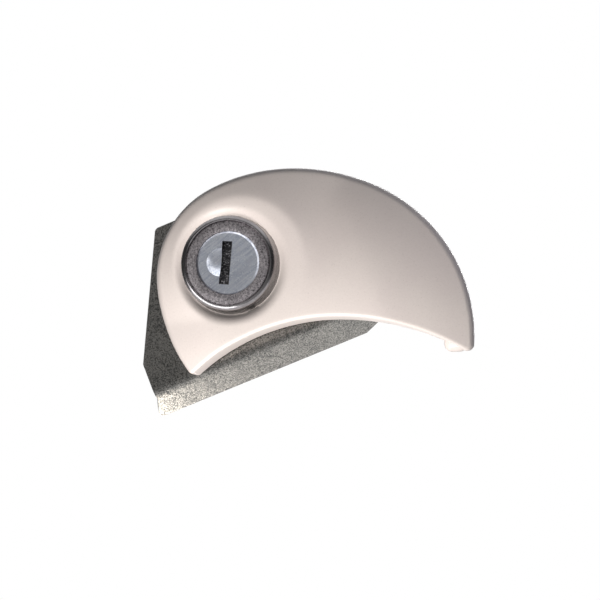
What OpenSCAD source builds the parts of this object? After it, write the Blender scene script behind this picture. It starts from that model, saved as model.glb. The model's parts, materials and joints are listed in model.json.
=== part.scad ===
// Crescent flap lock: a key-locked crescent handle that swings on a folded steel bracket.
// Sub-parts are drawn lying down, with local z as the height above the wall plane,
// and stand() turns them so that the wall plane is y = 0 and the front faces -y.

/* [Bracket] */
// Thickness of the bracket sheet
plate_t = 2.5; // [1.5:0.5:3]
// Lean of the bracket's folded edge from the horizontal, in degrees
lean = 21.5; // [0:0.5:30]
// Reach of the plate to the left of the pivot, along the fold
plate_left = 33.9; // [31:0.1:38]
// Reach of the plate to the right of the pivot, along the fold
plate_right = 30; // [28:0.5:38]
// Reach of the top edge to the left of the pivot
top_left = 17.3; // [15:0.1:22]
// Reach of the top edge to the right of the pivot
top_right = 13.4; // [12:0.1:18]
// Distance from the pivot up to the plate's top edge
plate_top = 19.3; // [18.5:0.1:22]
// Distance from the pivot down to the end of the sloping sides
side_drop = 14.5; // [10:0.5:18]
// Distance from the pivot down to the sharp line of the fold
fold_drop = 23.6; // [22:0.1:26]
// Fold angle of the flange, away from the front
fold_angle = 60; // [30:5:90]
// Inside radius of the fold
fold_r = 1; // [0.5:0.1:1.5]
// Depth of the flange, from the sharp line of the fold to its edge
flange_depth = 10.2; // [8:0.1:14]
// Flare of the flange's left end at its free edge
flange_flare = 2.2; // [0:0.1:3]
// Length of the chamfer on the flange's right corner, along the fold
flange_cut_long = 4.2; // [1:0.1:8]
// Depth of the same chamfer, across the flange
flange_cut_deep = 2.6; // [1:0.1:5]
// Corner radius of the plate
plate_corner_r = 1.5; // [0.5:0.1:3]
// Pitch circle diameter of the tapped mounting holes
mount_pcd = 34; // [32.5:0.5:35]
// Diameter of the tapped mounting holes, at the thread's core
mount_hole_d = 3.3; // [2.5:0.1:4.2]
// Number of tapped mounting holes
mount_count = 4; // [3:1:6]

/* [Stop pin] */
// Diameter of the stop pin
stop_d = 2.5; // [2:0.1:3]
// Distance from the pivot to the stop pin
stop_reach = 15.7; // [15.5:0.1:16]
// Direction of the stop pin from the pivot, in degrees
stop_dir = 110; // [105:1:120]
// Height of the stop pin above the plate
stop_h = 5.5; // [4.5:0.5:6]

/* [Cover outline] */
// Radius of the lower left edge
rim_r_low = 43.4; // [43:0.1:44]
// Centre of the lower left edge, across
rim_x = 22.4; // [21.5:0.1:23]
// Centre of the lower left edge, up
rim_y = -1.6; // [-2.4:0.1:-1]
// Radius of the left edge
rim_r_left = 27; // [26:0.5:28]
// Radius of the top edge
rim_r_top = 50.8; // [49:0.1:52]
// Radius of the right edge
rim_r_right = 44.8; // [43.5:0.1:46]
// Direction at which the low arc meets the left arc
turn_left = 185; // [182:1:188]
// Direction at which the left arc meets the top arc
turn_top = 117; // [114:1:120]
// Direction at which the top arc meets the right arc
turn_right = 63; // [60:1:66]
// Place of the hollow edge's crown, across
hollow_x = 28; // [26:0.5:30]
// Place of the hollow edge's crown, up
hollow_y = -14.4; // [-15.4:0.1:-14]
// Radius of the hollow edge left of its crown
hollow_r_left = 57.2; // [56:0.1:58]
// Radius of the hollow edge right of its crown
hollow_r_right = 69.6; // [68:0.1:71]

/* [Cover shell] */
// Wall of the cast cover
wall = 2.2; // [1.6:0.1:2.6]
// Gap between the cover's back edge and the plate
back_gap = 0.8; // [0.5:0.1:1.5]
// Height of the cover's crown above the wall plane
crown_h = 13.4; // [13:0.1:13.8]
// Radius of the crown's fall from the hollow edge to the rim
fall_r = 115; // [110:1:130]
// Height of the ball dome that lowers the rim
dome_h = 15.7; // [15.4:0.1:16.4]
// Radius of the ball dome
dome_r = 113; // [110:1:125]
// Height of the round pad beside the lock
pad_h = 12.4; // [12.2:0.1:12.8]
// Radius of the pad's flat top
pad_r = 16.5; // [16:0.1:17.5]
// Height of the dish floor under the bezel
dish_h = 11.2; // [11.1:0.1:11.6]
// Radius at which the dish meets the pad's top
dish_r = 16.2; // [15.5:0.1:16.5]
// Outer radius of the boss behind the pad
boss_r = 13.5; // [13:0.1:14]
// Thickness of the stiffening ribs
rib_t = 1.6; // [1:0.1:2.4]

/* [Foot] */
// Width of the foot
foot_w = 6.1; // [5.6:0.1:7]
// Lowest point of the foot, up
foot_y = -23.5; // [-24.5:0.1:-23]
// Corner radius of the foot
foot_r = 2.1; // [1:0.1:2.4]
// Length of the foot, up
foot_l = 7; // [6.5:0.1:8]
// Height of the foot's front face above the wall plane
foot_h = 6.4; // [6:0.1:7]
// Height of the foot's back face above the wall plane
foot_back = 1.4; // [1.2:0.1:2]
// Radius of the buffer's head
buffer_r = 2.4; // [1.8:0.1:2.6]
// Radius of the buffer's stem
buffer_stem_r = 1.2; // [0.8:0.1:1.5]
// Depth of the buffer's stem
buffer_stem = 3; // [2:0.5:5]

/* [Lock housing] */
// Radius of the housing's visible head
head_r = 11.3; // [11.2:0.1:11.6]
// Height of the housing's face above the wall plane
head_h = 16.1; // [15.8:0.1:16.6]
// Radius of the housing's body
body_r = 10; // [9.9:0.1:10.2]
// Height of the seat under the head
seat_h = 10.4; // [10:0.1:10.8]
// Reach of the housing behind the wall plane
tail = 4.4; // [4.2:0.1:6]
// Outer radius of the bezel
bezel_r = 13.2; // [13:0.1:13.5]
// Height of the bezel's rim above the wall plane
bezel_h = 16.7; // [16.4:0.1:17.2]
// Rounding of the bezel's shoulder
bezel_round = 1.4; // [0.8:0.1:1.4]

/* [Plug] */
// Radius of the key plug
plug_r = 8.5; // [8.4:0.1:8.6]
// Height of the plug's face above the wall plane
face_h = 15.8; // [15.6:0.1:16]
// Thickness of the plug's face plate
cap_t = 1; // [0.8:0.1:1.2]
// Length of the key slot
slot_l = 11.6; // [10:0.1:12]
// Width of the key slot
slot_w = 2.6; // [2:0.1:2.8]
// Offset of the key slot from the axis
slot_off = -0.6; // [-0.8:0.1:0]
// Lean of the key slot, in degrees clockwise
slot_lean = 4.7; // [0:0.1:10]
// Radius of the half-moon recess at the face
dimple_r = 3.9; // [3:0.1:4.2]
// Distance from the key slot's middle to the recess's centre
dimple_in = 0.5; // [0:0.1:1.2]
// Depth of the half-moon recess
dimple_t = 0.8; // [0.5:0.1:0.9]
// Radius of the crank pin's circle
crank_e = 2; // [1.6:0.1:2.1]
// Radius of the crank pin
crank_r = 1.2; // [1:0.1:1.3]

/* [Wafers] */
// Thickness of a wafer
wafer_t = 0.9; // [0.7:0.1:0.9]
// Width of a wafer
wafer_w = 6; // [5.6:0.1:6]
// Spacing of the wafers
wafer_pitch = 1.3; // [1.25:0.05:1.32]
// Height of the front wafer
wafer_h = 9.6; // [9.5:0.05:9.7]
// Travel of a wafer out of the plug
wafer_travel = 0.7; // [0.3:0.1:0.7]

/* [Bolt] */
// Thickness of the locking bolt
bolt_t = 1.8; // [1.5:0.1:2]
// Width of the locking bolt
bolt_w = 9; // [8.8:0.1:9.4]
// Rear end of the bolt, from the axis
bolt_tail = 5.5; // [5:0.1:6]
// Depth of the bolt's notch in the plate, from the axis
notch_r = 13.3; // [13.1:0.1:13.5]

/* [Fasteners and rings] */
// Thickness of the glide washer
glide_t = 0.7; // [0.5:0.1:1]
// Outer radius of the glide washer
glide_r = 14.2; // [13.5:0.1:14.3]
// Thickness of the housing nut
nut_t = 3; // [2.4:0.1:3.2]
// Outer radius of the housing nut
nut_r = 13.9; // [13:0.1:14]
// Thickness of the tooth washer
tooth_t = 0.6; // [0.4:0.1:0.8]
// Height of the disc spring behind the plate
disc_h = 0.9; // [0.7:0.1:1.1]
// Thickness of the thrust washer
thrust_t = 0.6; // [0.4:0.1:0.8]
// Thickness of the retaining ring
ring_t = 1.2; // [0.8:0.1:1.3]

/* [Fits] */
// Radial running clearance
run_gap = 0.05; // [0.03:0.01:0.08]
// Clearance between pieces that are fixed together
fix_gap = 0.02; // [0.01:0.01:0.05]
// Loose clearance round sliding pieces
slide_gap = 0.15; // [0.1:0.01:0.2]

/* [Hidden] */
$fn = 96;
far = 200;
eps = 0.01;

rib_places = [32, 46];
index_d = 0.8;
index_reach = 10.7;
index_dir = 200;
index_low = 8.4;
index_high = 11.8;
edge_cut = 0.3;
face_cut = 0.4;

back_h = plate_t + back_gap;
floor_r = fold_r + plate_t;
fold_tan = floor_r * tan(fold_angle / 2);
fold_start = fold_tan - fold_drop;
fold_lap = 1;
glide_h = plate_t + glide_t;
nut_back = glide_h + run_gap;
tooth_back = nut_back + nut_t;
boss_back = tooth_back + tooth_t;
gasket_t = 0.5;
head_back = seat_h + gasket_t;
seat_gap = 0.1;
bore_r = body_r + seat_gap;
head_bore_r = head_r + seat_gap;
shaft_r = body_r + run_gap;
washer_r = shaft_r + run_gap;
bezel_in = head_r + run_gap;
bezel_lead = 0.35;

low_c = [rim_x, rim_y];
left_c = low_c + (rim_r_low - rim_r_left) * heading(turn_left);
top_c = left_c + (rim_r_left - rim_r_top) * heading(turn_top);
right_c = top_c + (rim_r_top - rim_r_right) * heading(turn_right);
hollow_left_c = [hollow_x, hollow_y - hollow_r_left];
hollow_right_c = [hollow_x, hollow_y - hollow_r_right];
tip_r = 1.2;
end_r = 1.8;
inner_tip_r = 0.4;
end_c = crossing(right_c, rim_r_right - end_r, hollow_right_c, hollow_r_right + end_r, 1);
fall_c = [hollow_x, hollow_y - (hollow_r_left + hollow_r_right) / 2];
fall_in = (hollow_r_left + hollow_r_right) / 2;
fall_reach = 12;
fall_w = 70;
dome_c = [18.5, -20];
pad_c = [2.6, 0.8];
pad_base_h = 4;
// Outward run of the pad's shoulder and of the rise to the dome, for each millimetre of height
pad_run = 2.75;
rise_run = 4;
dish_floor_r = bezel_r + 0.1;
dish_top = crown_h + 1;
pad_floor = dish_h - wall;
bezel_taper = 0.4;
foot_x = end_c[0] - foot_w;
buffer_at = [foot_x + foot_w / 2, foot_y + foot_l / 2, 0];
buffer_face = 0.4;
buffer_edge = 0.5;

swing = 90;
stop_half = asin(stop_d / 2 / stop_reach);
stop_play = 0.6;
lug_t = 3;
pin_room = 0.45;
room_r = stop_reach + stop_d / 2 + pin_room;
lug_sink = 0.2;
lug_out = room_r + lug_sink;
lug_in_r = nut_r + 0.4;

plug_back = 2.6;
plug_gap = 0.1;
plug_bore_r = plug_r + run_gap;
body_top = face_h - cap_t;
key_floor = 3.8;
slide_t = bolt_t + 2 * run_gap;
slide_back = 0.1;
slide_w = bolt_w + 2 * run_gap;
slide_end = 0.5;
crank_dir = 135;
crank_low = 0.35;
crank_play = 0.2;
crank_room_r = crank_e + crank_r + 0.6;
bolt_nose = body_r - 0.1;
groove_r = plug_r + wafer_travel + slide_gap;
wafer_reach = plug_r - 0.1;
wafer_slot_t = wafer_t + 2 * run_gap;
wafer_count = 5;
window_low = 0.8;
window_step = 0.5;
window_side = 0.1;
lug_in = wafer_w / 2;
lug_w = 1.3;
lug_half = 0.5;
lug_root = 0.2;
spring_r = 0.38;
spring_wire = 0.08;
spring_y = -3.4;
spring_top = -lug_half - 0.1;
spring_curls = 4;
pocket_top = lug_half + wafer_travel + slide_gap;

clip_h = 2.95;
clip_t = 0.6;
clip_in = plug_r - 0.6;
clip_out = plug_r + 0.7;
clip_dir = 40;
clip_split = 4;

hinge_x = slot_off - slot_w / 2 - 1;
hinge_h = 14.1;
shutter_t = 0.6;
shutter_l = 12.2;
shutter_reach = slot_off + slot_w / 2 + 0.1 - hinge_x;
shutter_root = 0.75;
barrel_r = 0.55;
shutter_pin_r = 0.3;
shutter_pin_over = 0.8;
barrel_l = 9;
shutter_room_l = shutter_l + 4 * slide_gap;
shutter_floor = 10.3;
shutter_side = 0.8;
shutter_play = 0.3;
shutter_curls = 2;
shutter_wire = 0.1;
shutter_coil_r = shutter_pin_r + shutter_wire + 0.06;
shutter_coil_l = 1.5;

tooth_r = boss_r - 0.3;
tooth_count = 16;
tooth_depth = 1;
tooth_w = 1;
notch_count = 4;
notch_depth = 1.4;
notch_w = 4;

cap_r = 8.2;
cap_seat = 2;
cap_thick = 1.5;
cap_bore_r = 5.2;
cap_screw_r = 0.8;
cap_thread_r = 0.7;
cap_thread_l = 1.6;
cap_head_r = 1.45;
cap_head_t = 0.75;
cap_sink_r = 1.5;
cap_screw_reach = 6.4;
driver_w = 0.4;
driver_t = 0.35;

disc_t = 0.5;
disc_r = 13.2;
disc_land = 1;
thrust_r = 13;
ring_h = -(disc_h + thrust_t + run_gap + ring_t);
ring_groove_r = 9.3;
ring_r = 12;
ring_dir = 225;
ring_split = 2.4;
ear_half = 12;
ear_r = 1.7;
ear_hole_r = 0.7;
ear_reach = 11.4;

function heading(a) = [cos(a), sin(a)];
function crossing(a, ra, b, rb, side) = let(
    d = norm(b - a),
    u = (b - a) / d,
    k = (d * d + ra * ra - rb * rb) / (2 * d),
    h = sqrt(ra * ra - k * k))
    a + k * u + side * h * [-u[1], u[0]];

// Turns a part from its lying position to its place on the wall
module stand() {
    rotate([90, 0, 0]) children();
}

// Turns to the frame of the key slot
module slot_frame() {
    rotate([0, 0, -slot_lean]) children();
}

// Turns to the frame of the bracket's fold
module fold_frame() {
    rotate([0, 0, lean]) children();
}

module ring(r_out, r_in, z0, h) {
    translate([0, 0, z0]) difference() {
        cylinder(r = r_out, h = h);
        translate([0, 0, -eps]) cylinder(r = r_in, h = h + 2 * eps);
    }
}

// Box between two corners
module span(a, b) {
    translate(a) cube(b - a);
}

// Points along an arc, from one direction to another
function arc(c, r, a0, a1, n) = [for (i = [0:n]) c + r * heading(a0 + (a1 - a0) * i / n)];
function bearing(v) = atan2(v[1], v[0]);
function direction(v) = (bearing(v) + 360) % 360;

// Crescent outline drawn in by inset, with a left tip of radius t and a right tip of radius e
function crescent_points(inset, t, e) = let(
    low = rim_r_low - inset,
    right = rim_r_right - inset,
    hollow_left = hollow_r_left + inset,
    hollow_right = hollow_r_right + inset,
    c = crossing(low_c, low - t, hollow_left_c, hollow_left + t, -1),
    d = crossing(right_c, right - e, hollow_right_c, hollow_right + e, 1))
    concat(
        arc(low_c, low, direction(c - low_c), turn_left, 10),
        arc(left_c, rim_r_left - inset, turn_left - 4, turn_top, 14),
        arc(top_c, rim_r_top - inset, turn_top - 4, turn_right, 14),
        arc(right_c, right, turn_right - 4, bearing(d - right_c), 16),
        arc(d, e, bearing(d - right_c) - 15, bearing(hollow_right_c - d) + 15, 5),
        arc(hollow_right_c, hollow_right, bearing(d - hollow_right_c), 90, 8),
        arc(hollow_left_c, hollow_left, 93, direction(c - hollow_left_c), 10),
        arc(c, t, direction(hollow_left_c - c) - 15, direction(c - low_c) + 15, 3));

module crescent(inset, t, e) {
    polygon(crescent_points(inset, t, e));
}

// Rounded outline of the foot under the right tip
module foot_area() {
    far_x = foot_x + foot_w;
    far_y = foot_y + foot_l;
    rounded([[foot_x, foot_y], [foot_x, far_y], [far_x, far_y], [far_x, foot_y]], foot_r);
}

// The two domes that set the cover's height, lowered by inset
module domes(inset) {
    intersection() {
        translate([fall_c[0], fall_c[1], 0]) rotate_extrude($fn = 180) intersection() {
            translate([fall_in, crown_h - fall_r]) circle(r = fall_r - inset, $fn = 360);
            translate([fall_in - fall_reach, 0]) square([fall_w, crown_h]);
        }
        translate([dome_c[0], dome_c[1], dome_h - dome_r]) sphere(r = dome_r - inset, $fn = 180);
    }
}

// Round pad with its gently sloping shoulder
module pad() {
    drop = pad_h - pad_base_h;
    translate([pad_c[0], pad_c[1], pad_base_h])
        cylinder(r1 = pad_r + drop * pad_run, r2 = pad_r, h = drop);
}

// Room of the dish round the lock, which widens to the pad's top and then to the dome
module dish_room() {
    rotate_extrude() polygon([[0, dish_h], [dish_floor_r, dish_h], [dish_r, pad_h],
        [dish_r + (dish_top - pad_h) * rise_run, dish_top], [0, dish_top]]);
}

// A stop lug beside the boss, in direction a, with its back part clear of the nut
module stop_lug(a, side) {
    rotate([0, 0, a]) mirror([0, side < 0 ? 1 : 0, 0]) intersection() {
        union() {
            span([boss_r - 1, 0, boss_back], [lug_out, lug_t, pad_floor + 1]);
            span([lug_in_r, 0, back_h], [lug_out, lug_t, boss_back + eps]);
        }
        cylinder(r = lug_out, h = dish_h);
    }
}

// Corner centre for a rounded outline
function corner_c(p, q, s, r) = let(
    a = (p - q) / norm(p - q),
    b = (s - q) / norm(s - q),
    half = acos(a * b) / 2,
    m = (a + b) / norm(a + b))
    q + m * r / sin(half);

// Rounded convex outline through points that run clockwise
module rounded(points, r) {
    n = len(points);
    centres = [for (i = [0:n - 1]) corner_c(points[(i + n - 1) % n], points[i], points[(i + 1) % n], r)];
    sides = [for (i = [0:n - 1]) let(
        q = points[(i + 1) % n] - points[i],
        nrm = [-q[1], q[0]] / norm(q))
        each [centres[i] + r * nrm, centres[(i + 1) % n] + r * nrm]];
    polygon(sides);
    for (c = centres) translate(c) circle(r = r, $fn = 48);
}

// Coil of one unbroken tube along local z
module coil(r, wire, h, curls) {
    rings = curls * 8;
    sides = 6;
    rise = (h - 2 * wire) / curls;
    pts = [for (i = [0:rings]) let(
        a = 360 * i / 8,
        z = wire + rise * i / 8,
        pitch = atan(rise / (2 * PI * r)),
        radial = [cos(a), sin(a), 0],
        normal = [sin(a) * sin(pitch), -cos(a) * sin(pitch), cos(pitch)])
        for (j = [0:sides - 1]) let(b = 360 * j / sides)
            r * radial + [0, 0, z] + wire * (cos(b) * radial + sin(b) * normal)];
    walls = [for (i = [0:rings - 1]) for (j = [0:sides - 1]) let(
        p = i * sides + j,
        q = i * sides + (j + 1) % sides)
        each [[p, p + sides, q + sides], [p, q + sides, q]]];
    ends = [for (j = [1:sides - 2]) each [[0, j, j + 1],
        [rings * sides, rings * sides + j + 1, rings * sides + j]]];
    polyhedron(points = pts, faces = concat(walls, ends), convexity = 6);
}

module mounting_bracket() color("#8a8a86") stand() difference() {
    union() {
        fold_frame() linear_extrude(plate_t) difference() {
            rounded([[top_right, plate_top], [plate_right, -side_drop],
                [plate_right, -fold_drop - 2], [-plate_left, -fold_drop - 2],
                [-plate_left, -side_drop], [-top_left, plate_top]], plate_corner_r);
            translate([-far, fold_start - far]) square([2 * far, far]);
        }
        fold_frame() {
            translate([-plate_left, 0, 0]) rotate([90, 0, 90])
                linear_extrude(plate_left + plate_right) fold_profile();
            translate([0, fold_start, -fold_r]) rotate([fold_angle, 0, 0]) translate([0, 0, fold_r])
                flange();
        }
    }
    translate([0, 0, -eps]) cylinder(r = shaft_r, h = plate_t + 2 * eps);
    for (a = [0, swing]) rotate([0, 0, a])
        span([0, -bolt_w / 2 - slide_gap, -eps], [notch_r, bolt_w / 2 + slide_gap, plate_t + eps]);
    fold_frame() for (i = [0:mount_count - 1]) rotate([0, 0, 360 * (i + 0.5) / mount_count])
        translate([mount_pcd / 2, 0, -eps]) cylinder(d = mount_hole_d, h = plate_t + 2 * eps);
    stop_place() translate([0, 0, -eps]) cylinder(d = stop_d, h = plate_t + 2 * eps);
}

// Side profile of the sheet, from the plate round the fold to the start of the flange
module fold_profile() {
    c = [fold_start, -fold_r];
    turned = heading(90 + fold_angle);
    on = fold_lap * heading(180 + fold_angle);
    polygon(concat([[fold_start + fold_lap, plate_t]], arc(c, floor_r, 90, 90 + fold_angle, 12),
        [c + floor_r * turned + on, c + fold_r * turned + on],
        arc(c, fold_r, 90 + fold_angle, 90, 12), [[fold_start + fold_lap, 0]]));
}

// Flat sheet of the flange below the fold
module flange() {
    reach = flange_depth - fold_tan;
    left = -plate_left - flange_flare;
    linear_extrude(plate_t) polygon(concat([[plate_right, -fold_lap / 2],
        [plate_right, -reach + flange_cut_deep], [plate_right - flange_cut_long, -reach]],
        arc([left + plate_corner_r, -reach + plate_corner_r], plate_corner_r, 270, 180, 5),
        [[-plate_left, -fold_lap / 2]]));
}

module stop_place() {
    rotate([0, 0, stop_dir]) translate([stop_reach, 0, 0]) children();
}

module stop_pin() color("#9a9a9c") stand() stop_place() {
    cylinder(d = stop_d - 2 * fix_gap, h = plate_t + stop_h - face_cut);
    translate([0, 0, plate_t + stop_h - face_cut])
        cylinder(d1 = stop_d - 2 * fix_gap, d2 = stop_d - 2 * face_cut, h = face_cut);
}

module glide_washer() color("#e8e6df") stand() ring(glide_r, washer_r, plate_t, glide_t);

module disc_spring() color("#5d6066") stand() rotate_extrude() polygon([
    [washer_r, -disc_h], [washer_r, -disc_h + disc_t],
    [disc_r - disc_land, 0], [disc_r, 0], [disc_r, -disc_t]]);

module thrust_washer() color("#b9bcc0") stand()
    ring(thrust_r, washer_r, -disc_h - thrust_t, thrust_t);

module cover() color("#efe6de") stand() difference() {
    union() {
        difference() {
            intersection() {
                translate([0, 0, back_h]) linear_extrude(far / 10) crescent(0, tip_r, end_r);
                difference() {
                    union() {
                        domes(0);
                        pad();
                    }
                    dish_room();
                }
            }
            intersection() {
                translate([0, 0, -eps]) linear_extrude(far / 10) crescent(wall, inner_tip_r, inner_tip_r);
                union() {
                    difference() {
                        union() {
                            domes(wall);
                            translate([0, 0, -wall]) pad();
                        }
                        translate([0, 0, pad_floor]) cylinder(r = room_r + wall, h = far);
                    }
                    translate([0, 0, -eps]) cylinder(r = room_r, h = pad_floor + eps);
                }
            }
        }
        translate([0, 0, boss_back]) cylinder(r = boss_r, h = pad_floor + 1 - boss_back);
        stop_lug(stop_dir + stop_half + stop_play, 1);
        stop_lug(stop_dir - swing - stop_half - stop_play, -1);
        intersection() {
            translate([0, 0, back_h + 1]) linear_extrude(far / 10)
                crescent(wall / 2, inner_tip_r, inner_tip_r);
            domes(wall / 2);
            for (x = rib_places) translate([x - rib_t / 2, -far / 2, 0]) cube([rib_t, far, far]);
        }
        translate([0, 0, foot_back]) linear_extrude(foot_h - foot_back) foot_area();
    }
    translate([0, 0, -eps]) cylinder(r = bore_r, h = far);
    translate([0, 0, seat_h]) cylinder(r = head_bore_r, h = far);
    index_place() translate([0, 0, index_low - seat_gap]) cylinder(d = index_d, h = seat_h);
    buffer_place() cylinder(r = buffer_stem_r, h = foot_back + buffer_stem + seat_gap);
}

module index_place() {
    rotate([0, 0, index_dir]) translate([index_reach, 0, 0]) children();
}

module buffer_place() {
    translate(buffer_at) children();
}

module tip_buffer() color("#3a3a3c") stand() buffer_place() {
    translate([0, 0, buffer_face]) cylinder(r1 = buffer_r - buffer_edge, r2 = buffer_r, h = buffer_edge);
    translate([0, 0, buffer_face + buffer_edge])
        cylinder(r = buffer_r, h = foot_back - buffer_face - buffer_edge);
    translate([0, 0, foot_back - eps]) cylinder(r = buffer_stem_r - fix_gap, h = buffer_stem + eps);
}

module lock_housing() color("#77757a") stand() difference() {
    union() {
        translate([0, 0, head_back]) cylinder(r = head_r, h = head_h - head_back - edge_cut);
        translate([0, 0, head_h - edge_cut]) cylinder(r1 = head_r, r2 = head_r - edge_cut, h = edge_cut);
        translate([0, 0, -tail]) cylinder(r = body_r, h = tail + head_back + eps);
    }
    translate([0, 0, plug_back - plug_gap]) cylinder(r = plug_bore_r, h = far);
    translate([0, 0, clip_h - plug_gap]) cylinder(r = clip_out + plug_gap, h = clip_t + 2 * plug_gap);
    slot_frame() for (a = [0, 90]) rotate([0, 0, a]) intersection() {
        span([-wafer_w / 2 - slide_gap, -groove_r, key_floor], [wafer_w / 2 + slide_gap, groove_r,
            shutter_floor]);
        cylinder(r = groove_r, h = far);
    }
    span([-bolt_tail - slide_end, -slide_w / 2, slide_back], [body_r + 1, slide_w / 2,
        slide_back + slide_t]);
    translate([0, 0, slide_back]) cylinder(r = crank_room_r, h = plug_back);
    translate([0, 0, -tail - eps]) cylinder(r = cap_r, h = tail - cap_seat + eps);
    translate([0, 0, -cap_seat - eps]) cylinder(r = cap_bore_r, h = cap_seat + slide_back + 2 * eps);
    translate([0, 0, ring_h - run_gap]) ring_cut();
    index_place() translate([0, 0, head_back - eps]) cylinder(d = index_d, h = 1);
    cap_screw_places() translate([0, 0, -cap_seat - eps]) cylinder(r = cap_thread_r, h = cap_seat);
}

// Groove of the retaining ring
module ring_cut() {
    ring(body_r + 1, ring_groove_r, 0, ring_t + 2 * run_gap);
}

module cap_screw_places() {
    for (a = [90, 270]) rotate([0, 0, a]) translate([cap_screw_reach, 0, 0]) children();
}

module head_gasket() color("#2b2b2c") stand() difference() {
    ring(head_r, bore_r, seat_h, gasket_t);
    index_place() translate([0, 0, seat_h - eps]) cylinder(d = index_d, h = gasket_t + 2 * eps);
}

module bezel() color("#c9cbd0") stand() rotate_extrude() difference() {
    crest = bezel_r - bezel_taper - bezel_round;
    union() {
        polygon([[bezel_in, dish_h], [bezel_r, dish_h], [crest + bezel_round, bezel_h - bezel_round],
            [bezel_in, bezel_h - bezel_round]]);
        translate([bezel_in, bezel_h - bezel_round - eps]) square([crest - bezel_in, bezel_round + eps]);
        translate([crest, bezel_h - bezel_round]) circle(r = bezel_round, $fn = 64);
    }
    square([bezel_in, far]);
    translate([0, bezel_h - bezel_lead]) polygon([[0, -1], [bezel_in, 0],
        [bezel_in + bezel_lead, bezel_lead + eps], [0, bezel_lead + eps]]);
}

module index_pin() color("#a8a9ab") stand() index_place()
    translate([0, 0, index_low]) cylinder(d = index_d - 2 * fix_gap, h = index_high - index_low);

// Square notches round a ring's rim
module rim_notches(r, count, wide, z0, h) {
    for (i = [0:count - 1]) rotate([0, 0, 360 * (i + 0.5) / count])
        span([r, -wide / 2, z0 - eps], [far, wide / 2, z0 + h + eps]);
}

module tooth_washer() color("#a2a5a8") stand() difference() {
    ring(tooth_r, body_r + fix_gap, tooth_back, tooth_t);
    rim_notches(tooth_r - tooth_depth, tooth_count, tooth_w, tooth_back, tooth_t);
}

module housing_nut() color("#b4b2a8") stand() difference() {
    ring(nut_r, body_r + fix_gap, nut_back, nut_t);
    rim_notches(nut_r - notch_depth, notch_count, notch_w, nut_back, nut_t);
}

module retaining_ring() color("#3c3e42") stand() translate([0, 0, ring_h])
    rotate([0, 0, ring_dir]) difference() {
        union() {
            cylinder(r = ring_r, h = ring_t);
            for (a = [-ear_half, ear_half]) rotate([0, 0, a])
                translate([ear_reach, 0, 0]) cylinder(r = ear_r, h = ring_t);
        }
        translate([0, 0, -eps]) cylinder(r = ring_groove_r + seat_gap, h = ring_t + 2 * eps);
        span([0, -ring_split / 2, -eps], [far, ring_split / 2, ring_t + eps]);
        for (a = [-ear_half, ear_half]) rotate([0, 0, a])
            translate([ear_reach, 0, -eps]) cylinder(r = ear_hole_r, h = ring_t + 2 * eps);
    }

module end_cap() color("#9b9ca0") stand() difference() {
    translate([0, 0, -cap_seat - cap_thick]) cylinder(r = cap_r - run_gap, h = cap_thick);
    cap_screw_places() translate([0, 0, -cap_seat - cap_thick - eps]) {
        cylinder(r = cap_screw_r + seat_gap, h = cap_thick + 2 * eps);
        cylinder(r1 = cap_sink_r, r2 = cap_screw_r + seat_gap, h = cap_head_t);
    }
}

module end_cap_screws() color("#7f8287") stand() cap_screw_places()
    translate([0, 0, -cap_seat - cap_thick]) difference() {
        union() {
            cylinder(r1 = cap_head_r, r2 = cap_screw_r, h = cap_head_t);
            cylinder(r = cap_screw_r, h = cap_thick);
            cylinder(r = cap_thread_r - fix_gap, h = cap_thick + cap_thread_l);
        }
        span([-cap_sink_r, -driver_w / 2, -eps], [cap_sink_r, driver_w / 2, driver_t]);
    }

module plug() color("#a7aab2") stand() difference() {
    union() {
        translate([0, 0, plug_back]) cylinder(r = plug_r, h = body_top - plug_back);
        rotate([0, 0, crank_dir]) translate([crank_e, 0, crank_low])
            cylinder(r = crank_r, h = plug_back - crank_low + eps);
    }
    ring(plug_r + 1, clip_in, clip_h - run_gap, clip_t + 2 * run_gap);
    slot_frame() {
        span([slot_off - slot_w / 2, -slot_l / 2, key_floor], [slot_off + slot_w / 2, slot_l / 2, far]);
        span([hinge_x - shutter_side, -shutter_room_l / 2, shutter_floor],
            [hinge_x + shutter_reach + shutter_play, shutter_room_l / 2, far]);
        for (i = [0:wafer_count - 1]) translate([0, 0, wafer_h - i * wafer_pitch]) {
            span([-wafer_w / 2 - run_gap, -far, -wafer_slot_t / 2], [wafer_w / 2 + run_gap, far,
                wafer_slot_t / 2]);
            span([0, spring_y - seat_gap, -wafer_slot_t / 2], [lug_in + lug_w + slide_gap, pocket_top,
                wafer_slot_t / 2]);
        }
        translate([hinge_x, -shutter_room_l / 2 - shutter_pin_over - seat_gap, hinge_h])
            rotate([-90, 0, 0]) cylinder(r = shutter_pin_r + fix_gap,
                h = shutter_room_l + 2 * (shutter_pin_over + seat_gap));
    }
}

module plug_face() color("#9ea4b0") stand() difference() {
    union() {
        translate([0, 0, body_top]) cylinder(r = plug_r, h = cap_t - face_cut);
        translate([0, 0, face_h - face_cut]) cylinder(r1 = plug_r, r2 = plug_r - face_cut, h = face_cut);
    }
    slot_frame() {
        span([slot_off - slot_w / 2, -slot_l / 2, 0], [slot_off + slot_w / 2, slot_l / 2, far]);
        intersection() {
            ball = (dimple_r * dimple_r + dimple_t * dimple_t) / (2 * dimple_t);
            translate([slot_off - dimple_in, 0, face_h + ball - dimple_t]) sphere(r = ball, $fn = 96);
            span([-far, -far, 0], [slot_off, far, far]);
        }
    }
}

module plug_ring() color("#6c6e72") stand() difference() {
    ring(clip_out, clip_in + seat_gap, clip_h, clip_t);
    rotate([0, 0, clip_dir])
        span([0, -clip_split / 2, clip_h - eps], [far, clip_split / 2, clip_h + clip_t + eps]);
}

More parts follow.
